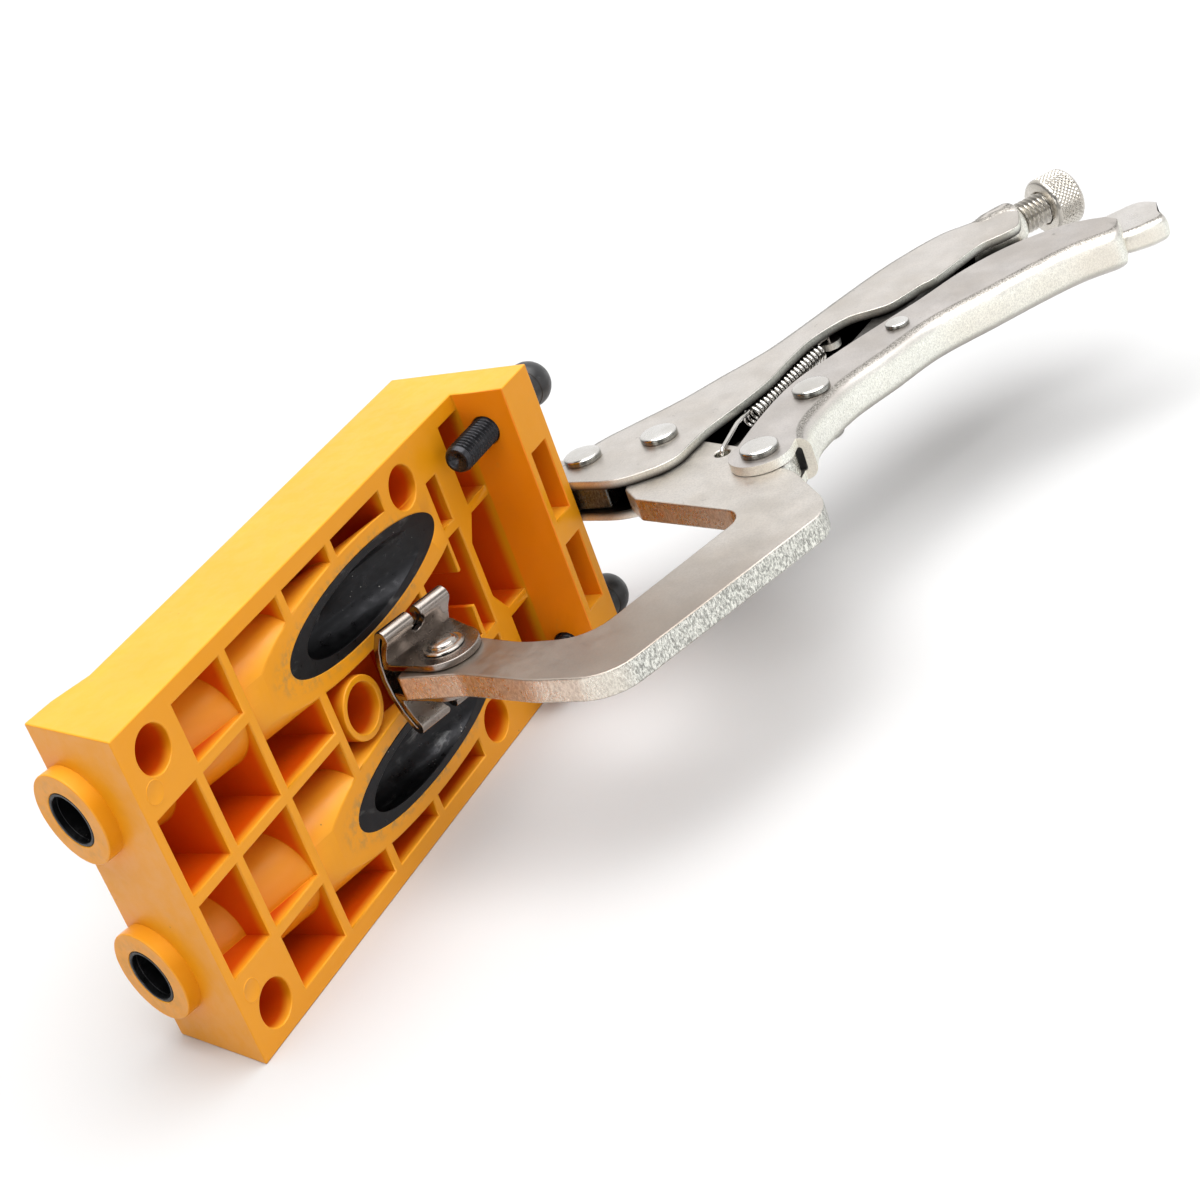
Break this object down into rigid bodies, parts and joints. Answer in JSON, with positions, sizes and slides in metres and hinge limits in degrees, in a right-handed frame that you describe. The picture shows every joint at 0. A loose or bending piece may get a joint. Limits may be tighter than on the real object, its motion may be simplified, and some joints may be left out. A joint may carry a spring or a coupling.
{
  "type": "pocket hole jig",
  "caption": "Ribbed moulded drill-guide housing with slanted steel bushes and a stop lip, held by a locking C-clamp with toggle handles and swivel pads.",
  "frame": {"origin": "centre of the four corner holes, on the housing's working face", "axes": "+X from the drill entries to the stop lip, +Y from the working face into the housing, +Z across the housing's width"},
  "size_m": [0.2631, 0.1831, 0.068],
  "materials": {
    "housing": "moulded ABS, yellow-orange, satin gloss",
    "bush": "blackened steel, drill-worn inside",
    "stop_screw": "black oxide thread",
    "cap": "black moulded cap",
    "handle_sheet": "pressed sheet, dull nickel plate",
    "jaw_plate": "blanked plate, sheared edges, dull nickel plate",
    "rivet": "bright nickel plate",
    "link": "dark steel",
    "screw": "nickel-plated thread and knurl",
    "spring": "spring wire",
    "pad_sheet": "folded sheet, nickel plate"
  },
  "bodies": {
    "housing": {"jig_body": "housing", "bush_left": "bush", "bush_right": "bush", "back_pad": "pad_sheet"},
    "stop_left": {"stop_screw_left": "stop_screw", "stop_cap_left": "cap"},
    "stop_right": {"stop_screw_right": "stop_screw", "stop_cap_right": "cap"},
    "clamp_frame": {"fixed_handle": "handle_sheet", "fixed_jaw": "jaw_plate", "fixed_jaw_rivet": "rivet", "jaw_pivot_rivet": "rivet", "screw_nut": "screw", "back_pad_rivet": "rivet", "spring": "spring"},
    "jaw": {"moving_jaw": "jaw_plate", "handle_rivet": "rivet", "front_pad_rivet": "rivet"},
    "handle": {"moving_handle": "handle_sheet", "toggle_rivet": "rivet", "release_rivet": "rivet"},
    "link": {"toggle_link": "link"},
    "lever": {"release_lever": "handle_sheet"},
    "screw": {"adjusting_screw": "screw"},
    "knob": {"knurled_knob": "screw"},
    "pad": {"front_pad": "pad_sheet"}
  },
  "joints": [
    {"name": "clamp_swivel", "type": "hinge", "parent": "housing", "child": "clamp_frame", "pos_m": [0.01898, 0.0314, 0.002], "axis": [0, 0, 1], "range_deg": [0, 6]},
    {"name": "jaw_open", "type": "hinge", "parent": "clamp_frame", "child": "jaw", "pos_m": [0.09498, -0.0257, 0.002], "axis": [0, 0, 1], "range_deg": [0, 10], "deforming": ["spring"]},
    {"name": "handle_open", "type": "hinge", "parent": "jaw", "child": "handle", "pos_m": [0.08458, -0.0531, 0.002], "axis": [0, 0, 1], "range_deg": [-46, 0]},
    {"name": "link_turn", "type": "hinge", "parent": "handle", "child": "link", "pos_m": [0.10948, -0.0547, 0.002], "axis": [0, 0, 1], "range_deg": [0, 49]},
    {"name": "release", "type": "hinge", "parent": "handle", "child": "lever", "pos_m": [0.13658, -0.0641, 0.002], "axis": [0, 0, 1], "range_deg": [0, 7]},
    {"name": "screw_feed", "type": "slide", "parent": "clamp_frame", "child": "screw", "axis": [0.814, -0.5809, 0], "range_m": [0, 0.008]},
    {"name": "knob_turn", "type": "hinge", "parent": "screw", "child": "knob", "pos_m": [0.20208, -0.0755, 0.002], "axis": [0.814, -0.5809, 0], "range_deg": [0, 2400]},
    {"name": "pad_swivel", "type": "hinge", "parent": "jaw", "child": "pad", "pos_m": [0.01898, -0.0143, 0.002], "axis": [0, 0, 1], "range_deg": [0, 34]},
    {"name": "stop_left_feed", "type": "slide", "parent": "housing", "child": "stop_left", "axis": [1, 0, 0], "range_m": [-0.0025, 0.011]},
    {"name": "stop_right_feed", "type": "slide", "parent": "housing", "child": "stop_right", "axis": [1, 0, 0], "range_m": [-0.0025, 0.011]}
  ],
  "couplings": [
    {"joint": "handle_open", "follows": "jaw_open", "ratio": -4.5},
    {"joint": "link_turn", "follows": "jaw_open", "ratio": 4.83},
    {"joint": "knob_turn", "follows": "screw_feed", "rad_per_m": 5026.5}
  ]
}
